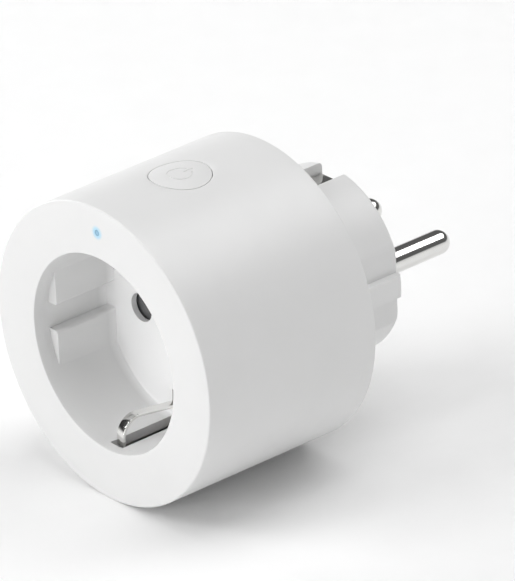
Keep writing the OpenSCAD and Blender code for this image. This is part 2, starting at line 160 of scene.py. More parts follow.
class MetalSizes(bpy.types.PropertyGroup):
    """Sizes of the metal parts."""
    nose_r: length("Nose radius", "Outer radius of the earth clip's nose", 3.9)
    clip_thick: length("Clip thickness", "Thickness of the earth clip", 0.6)
    clip_slope: degrees("Clip slope", "Slope of the clip's blade", 8)
    clip_edge: length("Clip edge", "Radius along the edges of the clip", 0.14)
    pin_r: length("Pin radius", "Radius of a wall pin", 2.4)
    shank_r: length("Shank radius", "Radius of a pin inside the boss", 2.2)
    pin_head_r: length("Pin head", "Radius of the riveted head of a pin", 3.4)
    screw_head_r: length("Screw head", "Radius of the head of a case screw", 2.3)
    screw_r: length("Screw radius", "Radius over the thread of a case screw", 1.05)
    thread: length("Thread pitch", "Pitch of the case screws", 0.7)


class Colours(bpy.types.PropertyGroup):
    """Colours of the finishes."""
    white: colour("White", "White of the casing", (0.765, 0.765, 0.763))
    # Painted light: the recess floor is blended to this lighter white to stand in for light bounced round
    # the recess.
    recess: colour("Recess white", "White of the recess floor", (0.97, 0.97, 0.97))
    natural: colour("Natural", "Natural nylon of the inner carrier", (0.74, 0.73, 0.68))
    black: colour("Black", "Black of small mouldings", (0.02, 0.02, 0.022))
    shutter: colour("Shutter", "Dark grey of the shutter", (0.15, 0.15, 0.155))
    nickel: colour("Nickel", "Plated pins and clips", (0.78, 0.775, 0.76))
    steel: colour("Steel", "Screws and springs", (0.6, 0.6, 0.61))
    brass: colour("Brass", "Stamped earth strap", (0.76, 0.6, 0.3))
    bronze: colour("Bronze", "Spring contacts", (0.78, 0.52, 0.3))
    copper: colour("Copper", "Current straps", (0.76, 0.42, 0.25))
    tin: colour("Tin", "Tinned lid and solder", (0.7, 0.7, 0.69))
    green: colour("Green", "Solder mask of the boards", (0.015, 0.14, 0.055))
    module: colour("Blue mask", "Solder mask of the radio module", (0.008, 0.03, 0.12))
    relay: colour("Relay", "Case of the relay", (0.02, 0.09, 0.36))
    sleeve: colour("Capacitor sleeve", "Shrink sleeve of the capacitors", (0.015, 0.015, 0.02))
    ferrite: colour("Ferrite", "Core of the inductor", (0.045, 0.045, 0.05))
    varistor: colour("Varistor", "Dipped coat of the varistor", (0.02, 0.11, 0.42))
    resistor: colour("Resistor", "Lacquer of the fuse resistor", (0.2, 0.42, 0.3))
    light: colour("Light", "Status light", (0.27, 0.47, 0.64))


class StageValues(bpy.types.PropertyGroup):
    """Camera, floor and lights."""
    azimuth: degrees("Azimuth", "Camera direction round the plug", 49.75)
    elevation: degrees("Elevation", "Camera height angle", 26.66)
    roll: degrees("Roll", "Turn of the camera about its own axis", -2.3)
    place: FloatVectorProperty(name="Camera place", description="Where the camera stands",
                               default=(1.155, -0.9806, 0.7594), subtype="TRANSLATION")
    lens: FloatProperty(name="Lens", description="Focal length in millimetres", default=565.9)
    floor: length("Floor size", "Side of the square floor", 2400)
    front: power("Front light", "Power of the front light", 3.9)
    key: power("Key light", "Power of the high left light", 7.2)
    top: power("Top light", "Power of the top light", 4.8)
    back: power("Back light", "Power of the high back light", 5.5)
    left: power("Left light", "Power of the left light", 4.5)
    right: power("Right light", "Power of the low right light", 2)
    sky: FloatProperty(name="Sky", description="Strength of the room light overhead", default=0.12)
    horizon: FloatProperty(name="Horizon", description="Strength of the room light at eye level",
                           default=0.9)


# ---------- modelling helpers ----------

def only(piece=None):
    """Leaves one piece selected and active, in object mode."""
    if bpy.context.object and bpy.context.object.mode != "OBJECT":
        bpy.ops.object.mode_set(mode="OBJECT")
    bpy.ops.object.select_all(action="DESELECT")
    if piece:
        piece.select_set(True)
        bpy.context.view_layer.objects.active = piece


def edit(piece, kind="FACE", action="SELECT"):
    """Opens a piece for editing, with all or nothing of it selected."""
    only(piece)
    bpy.ops.object.mode_set(mode="EDIT")
    bpy.ops.mesh.select_mode(type=kind)
    bpy.ops.mesh.select_all(action=action)


def pick(piece, test, kind="FACE"):
    """Opens a piece for editing, with the faces or edges selected that pass a test."""
    edit(piece, kind, "DESELECT")
    mesh = bmesh.from_edit_mesh(piece.data)
    for item in mesh.faces if kind == "FACE" else mesh.edges:
        item.select_set(test(item))
    mesh.select_flush_mode()
    bmesh.update_edit_mesh(piece.data)


def middle(edge):
    """Middle of an edge."""
    return (edge.verts[0].co + edge.verts[1].co) / 2


def along(edge, axis):
    """Whether an edge runs along an axis, given as 0, 1 or 2."""
    step = edge.verts[1].co - edge.verts[0].co
    return abs(step[axis]) > 0.999 * step.length


def bevel(piece, test, width, segments=3):
    """Rounds the edges that pass a test."""
    pick(piece, test, "EDGE")
    bpy.ops.mesh.bevel(offset=width, segments=segments, affect="EDGES", clamp_overlap=True)
    only(piece)


def arc(x, y, radius, start, end, steps=8):
    """Points on an arc about a centre, from one angle in degrees to another."""
    angles = [math.radians(start + (end - start) * i / steps) for i in range(steps + 1)]
    return [(x + radius * math.cos(a), y + radius * math.sin(a)) for a in angles]


def outline(name, points):
    """Extrudes one vertex through the points and closes them to a flat face."""
    only()
    bpy.ops.mesh.primitive_plane_add(size=TINY, location=points[0])
    piece = bpy.context.object
    piece.name = name
    edit(piece, "VERT")
    bpy.ops.mesh.merge(type="CENTER")
    for here, there in zip(points, points[1:]):
        step = Vector(there) - Vector(here)
        bpy.ops.mesh.extrude_region_move(TRANSFORM_OT_translate={"value": step})
    bpy.ops.mesh.select_all(action="SELECT")
    bpy.ops.mesh.edge_face_add()
    only(piece)
    bpy.ops.object.transform_apply(location=True, rotation=True, scale=True)
    return piece


def outward(piece, merge=TINY / 10):
    """Merges doubled vertices and points every face outwards."""
    edit(piece)
    bpy.ops.mesh.remove_doubles(threshold=merge)
    bpy.ops.mesh.select_all(action="SELECT")
    bpy.ops.mesh.delete_loose()
    bpy.ops.mesh.select_all(action="SELECT")
    bpy.ops.mesh.normals_make_consistent(inside=False)
    only(piece)
    return piece


def plate(name, points, step):
    """Extrudes a flat outline by a step to a solid."""
    piece = outline(name, points)
    edit(piece)
    bpy.ops.mesh.extrude_region_move(TRANSFORM_OT_translate={"value": step})
    return outward(piece)


def side_plate(name, section, half):
    """Extrudes a section of (y, z) points to a width that is centred on x = 0."""
    return plate(name, [(-half, y, z) for y, z in section], (2 * half, 0, 0))


def turned(name, section, steps=ROUND, axis=(0, 1, 0), centre=(0, 0, 0)):
    """Spins a section of (radius, place along the axis) points to a closed solid."""
    if axis[1]:
        points = [(centre[0] + r, p, centre[2]) for r, p in section]
    else:
        points = [(centre[0] + r, centre[1], p) for r, p in section]
    piece = outline(name, points)
    edit(piece)
    bpy.ops.mesh.delete(type="ONLY_FACE")
    bpy.ops.mesh.select_all(action="SELECT")
    bpy.ops.mesh.spin(steps=steps, angle=math.tau, center=centre, axis=axis)
    return outward(piece)


def rod(name, radius, low, high, x=0, z=0, steps=SMALL_ROUND):
    """Cylinder along Y between two planes."""
    only()
    bpy.ops.mesh.primitive_cylinder_add(vertices=steps, radius=radius, depth=high - low,
                                        location=(x, (low + high) / 2, z),
                                        rotation=(math.pi / 2, 0, 0))
    return settled(name)


def post(name, radius, low, high, x=0, y=0, steps=SMALL_ROUND):
    """Upright cylinder between two heights."""
    only()
    bpy.ops.mesh.primitive_cylinder_add(vertices=steps, radius=radius, depth=high - low,
                                        location=(x, y, (low + high) / 2))
    return settled(name)


def block(name, low, high):
    """Box between two corners."""
    low, high = Vector(low), Vector(high)
    only()
    bpy.ops.mesh.primitive_cube_add(size=1, location=(low + high) / 2)
    bpy.context.object.dimensions = high - low
    return settled(name)


def settled(name):
    """Names the active object and puts its place into its mesh."""
    piece = bpy.context.object
    piece.name = name
    bpy.ops.object.transform_apply(location=True, rotation=True, scale=True)
    return piece


def shape(piece, tool, how):
    """Joins, cuts or crosses a piece with a tool, and removes the tool."""
    only(piece)
    change = piece.modifiers.new(how.title(), "BOOLEAN")
    change.operation, change.object, change.solver = how, tool, "EXACT"
    bpy.ops.object.modifier_apply(modifier=change.name)
    bpy.data.objects.remove(tool)
    return piece


def cut(piece, *tools):
    """Cuts tools out of a piece."""
    for tool in tools:
        shape(piece, tool, "DIFFERENCE")
    return piece


def join(piece, *tools):
    """Joins tools to a piece as one solid."""
    for tool in tools:
        shape(piece, tool, "UNION")
    return piece


def gather(piece, *others):
    """Puts separate meshes into one piece without changing them."""
    only(piece)
    for other in others:
        other.select_set(True)
    if others:
        bpy.ops.object.join()
    return piece


def copied(piece, name, matrix):
    """A copy of a piece with its own mesh, moved by a matrix; a mirrored one is turned right side out."""
    twin = bpy.data.objects.new(name, piece.data.copy())
    bpy.context.scene.collection.objects.link(twin)
    twin.data.transform(matrix)
    if matrix.determinant() < 0:
        outward(twin)
    return twin


def repeated(tool, turns):
    """Copies of a tool, one for each turn; the tool itself is removed."""
    twins = [copied(tool, tool.name + "_copy", turn) for turn in turns]
    bpy.data.objects.remove(tool)
    return twins


def soft_edges(piece, width, angle=40, segments=2):
    """Rounds every sharp edge a little."""
    only(piece)
    change = piece.modifiers.new("Edges", "BEVEL")
    change.width, change.segments = width, segments
    change.limit_method, change.angle_limit = "ANGLE", math.radians(angle)
    change.use_clamp_overlap = True
    bpy.ops.object.modifier_apply(modifier=change.name)
    return piece


def coat(piece, slot):
    """Gives a piece the finish that belongs to a material slot."""
    piece.data.materials.clear()
    piece.data.materials.append(MATERIALS[FINISH_OF_SLOT[slot]])


def hand_over(piece, slot, *nodes, body="casing", angle=30):
    """Finishes a piece: smooth shading, its finish, its body, and the CAD nodes it stands for."""
    only(piece)
    bpy.ops.object.shade_smooth_by_angle(angle=math.radians(angle))
    coat(piece, slot)
    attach(piece, body)
    if nodes:
        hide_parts(*nodes)
    return piece


# ---------- materials ----------

def node(tree, kind, settings=None, **inputs):
    """Adds a shader node; an input takes a value or another node's output."""
    made = tree.nodes.new("ShaderNode" + kind)
    for key, value in (settings or {}).items():
        setattr(made, key, value)
    for key, value in inputs.items():
        socket = made.inputs[int(key[1:])] if key[1:].isdigit() else made.inputs[key.replace("_", " ")]
        if isinstance(value, bpy.types.NodeSocket):
            tree.links.new(value, socket)
        else:
            socket.default_value = value
    return made


def rgba(tint, factor=1.0):
    """A colour with full alpha, darkened or lightened by a factor."""
    return (*[min(1.0, c * factor) for c in tint], 1.0)


def place_on(tree):
    """Where a point lies, in object coordinates."""
    return node(tree, "TexCoord").outputs["Object"]


def noise(tree, size, stretch=(1, 1, 1), detail=3.0, rough=0.55):
    """Noise on object coordinates, with features of a size in metres."""
    place = node(tree, "Mapping", Vector=place_on(tree), Scale=stretch).outputs["Vector"]
    return node(tree, "TexNoise", Vector=place, Scale=1 / size, Detail=detail,
                Roughness=rough).outputs["Fac"]


def spread(tree, value, low, high, start=0.3, end=0.7):
    """Maps a pattern to a range of numbers."""
    return node(tree, "MapRange", Value=value, From_Min=start, From_Max=end,
                To_Min=low, To_Max=high).outputs["Result"]


def blended(tree, amount, first, second):
    """Mixes two colours by a pattern."""
    mix = node(tree, "Mix", {"data_type": "RGBA"}, i0=amount, i6=first, i7=second)
    return mix.outputs[2]


def worn_edges(tree, radius, amount):
    """A mask that is high along edges, from the angle between the true and a rounded normal."""
    smooth = node(tree, "Bevel", {"samples": 4}, Radius=radius).outputs["Normal"]
    true = node(tree, "NewGeometry").outputs["Normal"]
    same = node(tree, "VectorMath", {"operation": "DOT_PRODUCT"}, i0=smooth, i1=true).outputs["Value"]
    return spread(tree, same, amount, 0, 0.8, 0.98)


def from_light(tree):
    """Distance from the middle of the status light."""
    return node(tree, "VectorMath", {"operation": "DISTANCE"}, i0=place_on(tree),
                i1=(0, FRONT, LIGHT_Z)).outputs["Value"]


def bumped(tree, height, depth):
    """Normal of a surface that a pattern raises by a depth."""
    return node(tree, "Bump", Strength=1.0, Distance=depth, Height=height).outputs["Normal"]


def blank(name):
    """A new material and its emptied node tree."""
    material = bpy.data.materials.new(name)
    material.use_nodes = True
    material.node_tree.nodes.clear()
    return material, material.node_tree


def surfaced(tree, **sockets):
    """Adds the shader and the output that end a material."""
    surface = node(tree, "BsdfPrincipled", **sockets)
    node(tree, "OutputMaterial", Surface=surface.outputs["BSDF"])
    return surface


def finish(name, tint, roughness, grain=0.2 * MM, depth=0.004 * MM, stretch=(1, 1, 1),
           mottle=0.04, wear=None, metallic=0.0, extra=None):
    """A solid finish with grain, uneven gloss, slight colour variation and worn edges."""
    material, tree = blank(name)
    fine = noise(tree, grain, stretch, 4)
    broad = noise(tree, 9 * MM, (1, 1, 1), 2)
    base = blended(tree, spread(tree, broad, 0, 1), rgba(tint, 1 - mottle), rgba(tint, 1 + mottle / 2))
    gloss = spread(tree, noise(tree, 3 * MM, stretch, 5, 0.65), roughness * 0.8, roughness * 1.2)
    if wear:
        mask = worn_edges(tree, 0.25 * MM, 0.7)
        base = blended(tree, mask, base, rgba(wear))
    surface = surfaced(tree, Base_Color=base, Roughness=gloss, Metallic=metallic,
                       Normal=bumped(tree, fine, depth))
    if extra:
        extra(tree, surface, base)
    return material


def metal(*settings, **more):
    """A finish for bare metal."""
    return finish(*settings, metallic=1.0, **more)


def light_halo(tree, surface, base):
    """Pale blue light that soaks into the white plastic round the status light."""
    tint = bpy.context.scene.plug_colours.light
    glow = node(tree, "MapRange", {"interpolation_type": "SMOOTHERSTEP"}, Value=from_light(tree),
                From_Min=0.6 * MM, From_Max=1.7 * MM, To_Min=1.0, To_Max=0).outputs["Result"]
    blue = blended(tree, glow, base, rgba((0.42, 0.66, 0.8)))
    tree.links.new(blue, surface.inputs["Base Color"])
    surface.inputs["Emission Color"].default_value = rgba(tint)
    tree.links.new(spread(tree, glow, 0, 0.06, 0, 1), surface.inputs["Emission Strength"])


def painted_recess_light(tree, surface, base):
    """Painted light: a lighter white blended onto the recess floor, standing in for light bounced round
    the recess, which the stage lights alone leave too dark.
    """
    tint = bpy.context.scene.plug_colours.recess
    depth = node(tree, "SeparateXYZ", Vector=place_on(tree)).outputs["Y"]
    floor = FRONT + bpy.context.scene.plug_casing.recess_depth
    # Painted light: mask rising over the last 2 mm towards the recess floor, where the lighter white is
    # blended in.
    deep = spread(tree, depth, 0, 1, floor - 2 * MM, floor - 0.2 * MM)
    tree.links.new(blended(tree, deep, base, rgba(tint)), surface.inputs["Base Color"])


def board_mask(name, tint, trace):
    """Solder mask over a field of tracks and pads."""
    material, tree = blank(name)
    cells = node(tree, "TexVoronoi", {"distance": "CHEBYCHEV", "feature": "F1"},
                 Vector=place_on(tree), Scale=1 / trace, Randomness=0.45).outputs["Distance"]
    lines = spread(tree, cells, 0, 1, 0.3, 0.34)
    dust = spread(tree, noise(tree, 2.5 * MM), 0, 1)
    copper = blended(tree, lines, rgba(tint, 1.9), rgba(tint))
    base = blended(tree, dust, copper, rgba(tint, 0.75))
    gloss = spread(tree, noise(tree, 1.2 * MM), 0.22, 0.38)
    surfaced(tree, Base_Color=base, Roughness=gloss, Normal=bumped(tree, lines, 0.02 * MM))
    return material


def lit_window(name, tint):
    """Clear window lit from behind, brightest at its middle."""
    material, tree = blank(name)
    core = spread(tree, from_light(tree), 0.45, 0.1, 0, 0.7 * MM)
    gloss = spread(tree, noise(tree, 0.15 * MM), 0.12, 0.3)
    surfaced(tree, Base_Color=rgba(tint, 0.7), Roughness=gloss, Emission_Color=rgba(tint),
             Emission_Strength=core, Normal=bumped(tree, noise(tree, 0.3 * MM), 0.01 * MM))
    return material


def make_materials(c):
    """Every finish of the plug, by name."""
    drawn = (1, 0.08, 1)
    return {
        "white": finish("white_moulding", c.white, 0.36, 0.12 * MM, 0.0015 * MM, mottle=0.01,
                        extra=light_halo),
        # The recess moulding carries painted light: its floor is blended to a lighter white.
        "cup": finish("recess_moulding", c.white, 0.42, 0.12 * MM, 0.002 * MM, mottle=0.012,
                      extra=painted_recess_light),
        "natural": finish("natural_nylon", c.natural, 0.5, 0.3 * MM, 0.006 * MM),
        "black": finish("black_moulding", c.black, 0.45, 0.2 * MM, 0.006 * MM, mottle=0.15,
                        wear=(0.09, 0.09, 0.09)),
        "shutter": finish("shutter_moulding", c.shutter, 0.5, 0.25 * MM, 0.006 * MM, mottle=0.1,
                          wear=(0.16, 0.16, 0.165)),
        "nickel": metal("polished_nickel", c.nickel, 0.1, 0.5 * MM, 0.0006 * MM, drawn),
        "steel": metal("zinc_steel", c.steel, 0.3, 0.15 * MM, 0.002 * MM, mottle=0.1),
        "brass": metal("stamped_brass", c.brass, 0.28, 0.3 * MM, 0.002 * MM, (1, 1, 0.1), 0.12),
        "bronze": metal("spring_bronze", c.bronze, 0.3, 0.3 * MM, 0.002 * MM, drawn, 0.12),
        "copper": metal("dull_copper", c.copper, 0.36, 0.3 * MM, 0.002 * MM, drawn, 0.15),
        "tin": metal("tinned_sheet", c.tin, 0.3, 0.3 * MM, 0.003 * MM, (0.1, 1, 1), 0.08),
        "relay": finish("relay_moulding", c.relay, 0.3, 0.2 * MM, 0.003 * MM, mottle=0.06),
        "sleeve": finish("shrink_sleeve", c.sleeve, 0.26, 0.6 * MM, 0.004 * MM, mottle=0.2),
        "ferrite": finish("ferrite", c.ferrite, 0.55, 0.08 * MM, 0.006 * MM, mottle=0.2,
                          wear=(0.14, 0.14, 0.14)),
        "varistor": finish("dipped_coat", c.varistor, 0.3, 0.5 * MM, 0.01 * MM, mottle=0.08),
        "resistor": finish("lacquer", c.resistor, 0.35, 0.3 * MM, 0.008 * MM, mottle=0.06),
        "green": board_mask("green_mask", c.green, 1.6 * MM),
        "module": board_mask("blue_mask", c.module, 1.1 * MM),
        "light": lit_window("blue_window", c.light),
    }


# ---------- pieces ----------

def screw_places(s):
    """Where the four case screws and their posts stand, as x and z."""
    return [(s.post_circle * math.cos(a), s.post_circle * math.sin(a))
            for a in (math.radians(45 + 90 * i) for i in range(4))]


def on_rim(edge, radius, slack):
    """Whether an edge lies on the rim of the button or its hole, at the body's surface."""
    place = middle(edge)
    return (place.z > BODY_R - 2 * MM
            and abs(Vector((place.x, place.y - BUTTON_Y)).length - radius) < 0.03 * MM
            and Vector((place.x, place.z)).length > BODY_R - slack)


def upright(name):
    """Both heights, the centre and the radius of a round upright CAD part."""
    low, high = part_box(name)
    return low.z, high.z, (low.x + high.x) / 2, (low.y + high.y) / 2, (high.x - low.x) / 2


class PlugOperator(bpy.types.Operator):
    """Base of the operators that build one piece or one group of pieces."""
    bl_idname = "plug.base"
    bl_label = "Plug piece"
    bl_options = {"REGISTER", "UNDO"}

    def execute(self, context):
        self.build(context.scene.plug_casing, context.scene.plug_metal)
        return {"FINISHED"}


class PLUG_OT_sleeve(PlugOperator):
    """Round sleeve with the flat front ring, screw posts, button hole and light hole"""
    bl_idname = "plug.sleeve"
    bl_label = "Sleeve"

    def build(self, s, m):
        f, lip = s.outer_fillet, s.recess_fillet
        inner = BODY_R - s.sleeve_wall
        bands = 16
        rings = [FRONT + f + (-FRONT - 2 * f) * i / bands for i in range(1, bands)]
        section = arc(s.recess_r + lip, FRONT + lip, lip, 180, 270, 4)
        section += arc(BODY_R - f, FRONT + f, f, -90, 0, 8)
        section += [(BODY_R, y) for y in rings]
        section += arc(BODY_R - f, -f, f, 0, 90, 6)
        section += [(inner, 0), (inner, FACE_BACK), (s.recess_r, FACE_BACK)]
        piece = turned("sleeve", section, FINE_ROUND)
        post_end, bore_start = COVER_LOW.y - 0.05 * MM, -12.2 * MM
        for x, z in screw_places(s):
            join(piece, rod("boss", s.post_r, FACE_BACK - 0.1 * MM, post_end, x, z, 32))
            cut(piece, rod("bore", m.screw_r, bore_start, 0, x, z, 24))
        cut(piece, post("hole", s.hole_r, 20 * MM, BODY_R + PAST, 0, BUTTON_Y, 96))
        window_r = 0.61 * MM
        cut(piece, rod("window", window_r, FRONT - PAST, FACE_BACK + PAST, 0, LIGHT_Z, 32))
        outward(piece, 0.02 * MM)
        bevel(piece, lambda edge: on_rim(edge, s.hole_r, 0.1 * MM), s.edge, 2)
        hand_over(piece, "casing", "outer_shell")


class PLUG_OT_recess(PlugOperator):
    """Recess cup with guide blocks, pin holes and slots for the earth clips"""
    bl_idname = "plug.recess"
    bl_label = "Recess cup"

    def guide(self, s, floor):
        """Guide block on the upper right, bounded by a flat face and an arc inside the wall."""
        back_r, sunk = s.recess_r + 0.9 * MM, 0.4 * MM
        low = math.degrees(math.asin(s.groove_half / back_r))
        high = math.degrees(math.acos(s.guide_x / back_r))
        section = [(s.guide_x, s.groove_half)] + arc(0, 0, back_r, low, high, 10)
        start = FRONT + s.guide_setback
        piece = plate("guide", [(x, start, z) for x, z in section], (0, floor + sunk - start, 0))
        bevel(piece, lambda e: along(e, 1) and abs(middle(e).x - s.guide_x) < TINY
              and middle(e).z < s.groove_half + TINY, s.guide_fillet, 4)
        bevel(piece, lambda e: abs(middle(e).y - start) < TINY
              and middle(e).x < s.guide_x + s.guide_fillet, s.edge, 2)
        return piece

    def build(self, s, m):
        floor = FRONT + s.recess_depth
        wall_r, flange_r = s.recess_r + 1.8 * MM, CUP_HIGH.x
        fillet, front, flange_back = s.floor_fillet, FACE_BACK + 0.01 * MM, FACE_BACK + 1.2 * MM
        section = [(s.recess_r, front)]
        section += arc(s.recess_r - fillet, floor - fillet, fillet, 0, 90, 5)
        section += [(4 * MM, floor), (0, floor), (0, FLOOR_BACK), (wall_r, FLOOR_BACK),
                    (wall_r, flange_back), (flange_r, flange_back), (flange_r, front)]
        piece = turned("recess_cup", section, FINE_ROUND)
        join(piece, *repeated(self.guide(s, floor), QUARTERS))
        for x in (-PIN_X, PIN_X):
            cut(piece, rod("pin_hole", s.pin_hole_r, floor - PAST, FLOOR_BACK + PAST, x, 0))
        slot_end = wall_r + 0.4 * MM
        for side in (-1, 1):
            for start, near in ((s.recess_r - PAST, FACE_BACK - PAST), (s.slot_z, floor - 0.1 * MM)):
                low, high = sorted((side * start, side * slot_end))
                cut(piece, block("slot", (-s.slot_half, near, low),
                                 (s.slot_half, FLOOR_BACK + PAST, high)))
        for x, z in screw_places(s):
            cut(piece, rod("notch", s.post_r + 0.2 * MM, FACE_BACK - PAST, FACE_BACK + 2 * MM, x, z))
        outward(piece, 0.01 * MM)
        hand_over(piece, "face", "socket_cup")


class PLUG_OT_button(PlugOperator):
    """Round push button with a moulded mark"""
    bl_idname = "plug.button"
    bl_label = "Button"

    def build(self, s, m):
        cap_r, stem_r, flange_r = s.hole_r - 0.15 * MM, 1.5 * MM, CAP_HIGH.x
        flange_low, flange_top = 26 * MM, BODY_R - s.sleeve_wall - 0.25 * MM
        above = 31 * MM
        section = [(0, CAP_LOW.z), (stem_r, CAP_LOW.z), (stem_r, flange_low),
                   (flange_r, flange_low), (flange_r, above), (0, above)]
        piece = turned("push_button", section, 96, (0, 0, 1), (0, BUTTON_Y, 0))
        low, high = BUTTON_Y - 9 * MM, BUTTON_Y + 9 * MM
        inside = rod("inside", flange_top, low, high, steps=ROUND)
        shape(piece, inside, "INTERSECT")
        cap = post("cap", cap_r, flange_low + 0.2 * MM, 32 * MM, 0, BUTTON_Y, 96)
        shape(cap, rod("round_top", BODY_R, low, high, steps=ROUND), "INTERSECT")
        join(piece, cap)
        inner_r, outer_r, start, end = 2.15 * MM, 2.5 * MM, 20 * MM, 40 * MM
        ring = turned("ring", [(inner_r, start), (outer_r, start), (outer_r, end), (inner_r, end)],
                      64, (0, 0, 1), (0, BUTTON_Y, 0))
        gap, bar_half, mark_depth = 0.75 * MM, 0.18 * MM, 0.07 * MM
        cut(ring, block("gap", (-gap, BUTTON_Y + MM, start - 10 * MM),
                        (gap, BUTTON_Y + 4 * MM, end + 10 * MM)))
        bar = block("bar", (-bar_half, BUTTON_Y + 0.9 * MM, start),
                    (bar_half, BUTTON_Y + 3 * MM, end))
        for mark in (ring, bar):
            cut(mark, rod("under", BODY_R - mark_depth, low, high, steps=ROUND))
            cut(piece, mark)
        outward(piece, 0.01 * MM)
        bevel(piece, lambda edge: on_rim(edge, cap_r, 0.05 * MM), s.edge, 3)
        hand_over(piece, "casing", "button_cap", body="button")


class PLUG_OT_light(PlugOperator):
    """Window of the status light, with a slightly domed tip"""
    bl_idname = "plug.light"
    bl_label = "Light window"

    def build(self, s, m):
        tip_r, dome, barrel_r, fine, broad = 0.6 * MM, 0.15 * MM, 1.3 * MM, 0.1 * MM, 0.2 * MM
        end = WINDOW_HIGH.y
        section = [(0, FRONT)] + arc(tip_r - dome, FRONT + dome, dome, -90, 0, 4)
        section += [(tip_r, FACE_BACK), (barrel_r - fine, FACE_BACK), (barrel_r, FACE_BACK + fine),
                    (barrel_r, end - broad), (barrel_r - broad, end), (0, end)]
        piece = turned("light_window", section, 32, centre=(0, 0, LIGHT_Z))
        hand_over(piece, "light_clear", "light_pipe")


class PLUG_OT_earth_clips(PlugOperator):
    """Bent earth clips at the top and the bottom of the recess"""
    bl_idname = "plug.earth_clips"
    bl_label = "Front earth clips"

    def build(self, s, m):
        half = CLIP_HIGH.x
        nose_y = CLIP_LOW.y + m.nose_r
        nose_z = CLIP_LOW.z + m.nose_r
        inner_r = m.nose_r - m.clip_thick
        slope = math.degrees(m.clip_slope)
        reach = (CLIP_HIGH.y - nose_y - m.nose_r * math.sin(m.clip_slope)) / math.cos(m.clip_slope)

        def blade(radius):
            """End of the blade, measured along its slope from the nose."""
            c, t = math.cos(m.clip_slope), math.sin(m.clip_slope)
            return nose_y + reach * c + radius * t, nose_z + reach * t - radius * c
        outer = arc(nose_y, nose_z, m.nose_r, 270 + slope, 180, 24)
        inner = arc(nose_y, nose_z, inner_r, 180, 270 + slope, 24)
        tip_y, tip_z, corner = nose_y - m.nose_r, CLIP_HIGH.z, 0.2 * MM
        tip = [(tip_y, tip_z - corner), (tip_y + corner, tip_z), (tip_y + m.clip_thick, tip_z)]
        section = [blade(m.nose_r)] + outer + tip + inner + [blade(inner_r)]
        upper = side_plate("front_clip_upper", section, half)
        soft_edges(upper, m.clip_edge, 60, 3)
        lower = copied(upper, "front_clip_lower", FLIP_Z)
        for clip, name in ((upper, "earth_clip_upper"), (lower, "earth_clip_lower")):
            hand_over(clip, "clip_metal", name, body=name, angle=40)


class PLUG_OT_rear_cover(PlugOperator):
    """Rear cover with the plug boss, its flats, ribs, earth channels and countersunk holes"""
    bl_idname = "plug.rear_cover"
    bl_label = "Rear cover"

    def build(self, s, m):
        back, rim = COVER_LOW.y, COVER_HIGH.x
        end_wall = BOSS_END - s.boss_wall
        f, root = s.boss_round, s.boss_root
        section = [(s.boss_hollow_r, back), (rim - s.edge, back), (rim, back + s.edge),
                   (rim, -s.edge), (rim - s.edge, 0)]
        section += arc(s.boss_r + root, root, root, 270, 180, 5)
        section += arc(s.boss_r - f, BOSS_END - f, f, 0, 90, 6)
        section += [(0, BOSS_END), (0, end_wall), (s.boss_hollow_r, end_wall)]
        piece = turned("cover_moulding", section, ROUND)
        towers = [(-PIN_X, 0, s.tower_end), (PIN_X, 0, s.tower_end), (0, EARTH_Z, TINY)]
        join(piece, *[rod("tower", s.tower_r, start, end_wall + 0.1 * MM, x, z)
                      for x, z, start in towers])
        end, gap = BOSS_END + PAST, 0.05 * MM
        cut(piece, *repeated(block("flat", (s.flat_x, 0.3 * MM, s.rib_half),
                                   (s.boss_r + PAST, end, s.boss_r)), QUARTERS))
        channels = repeated(block("channel", (-s.channel_half, 0.02 * MM, STRIP_LOW.z),
                                  (s.channel_half, end, s.boss_r + PAST)), HALVES)
        ways = repeated(block("way", (-s.channel_half, back - PAST, STRIP_LOW.z - 0.01 * MM),
                              (s.channel_half, MM, STRIP_HIGH.z + gap)), HALVES)
        for channel, way in zip(channels, ways):
            cut(piece, channel, way)
        for x in (-PIN_X, PIN_X):
            cut(piece, rod("pin_way", m.shank_r + gap, 0, end, x, 0))
        cut(piece, rod("earth_way", TUBE_HIGH.x + gap, -PAST, end, 0, EARTH_Z))
        hole_r, sink_r, deep = m.screw_r + 0.45 * MM, m.screw_head_r + 0.3 * MM, -3 * MM
        sink = [(0, deep), (hole_r, deep), (hole_r, -1.4 * MM), (sink_r, 0), (sink_r, PAST), (0, PAST)]
        for x, z in screw_places(s):
            cut(piece, turned("sink", sink, 48, centre=(x, 0, z)))
        outward(piece, 0.01 * MM)
        hand_over(piece, "casing", "rear_cover")


class PLUG_OT_case_screws(PlugOperator):
    """Four countersunk case screws with a cross recess and a thread"""
    bl_idname = "plug.case_screws"
    bl_label = "Case screws"

    def build(self, s, m):
        top, neck, tip, rounding = -0.2 * MM, -1.6 * MM, -10 * MM, 0.05 * MM
        core = m.screw_r - 0.22 * MM
        turns = int((neck - tip) / m.thread) - 1
        section = [(0, tip), (core * 0.6, tip)]
        for i in range(turns):
            start = tip + m.thread * (i + 0.6)
            section += [(core, start), (m.screw_r, start + m.thread * 0.4),
                        (core, start + m.thread * 0.8)]
        section += [(m.screw_r, neck), (m.screw_head_r - rounding, top - 0.12 * MM),
                    (m.screw_head_r - 2 * rounding, top), (0, top)]
        first = turned("screw", section, 40)
        long, short, deep = 1.3 * MM, 0.25 * MM, top - 0.7 * MM
        for wide, tall in ((long, short), (short, long)):
            cut(first, block("slot", (-wide, deep, -tall), (wide, PAST, tall)))
        soft_edges(first, 0.04 * MM, 50, 1)
        screws, first_turn = [], 20
        for i, (x, z) in enumerate(screw_places(s)):
            turn = Matrix.Rotation(math.radians(first_turn + 37 * i), 4, "Y")
            screws.append(copied(first, "screw_set", Matrix.Translation((x, 0, z)) @ turn))
        bpy.data.objects.remove(first)
        piece = gather(*screws)
        hand_over(piece, "screw_steel", "case_screws")


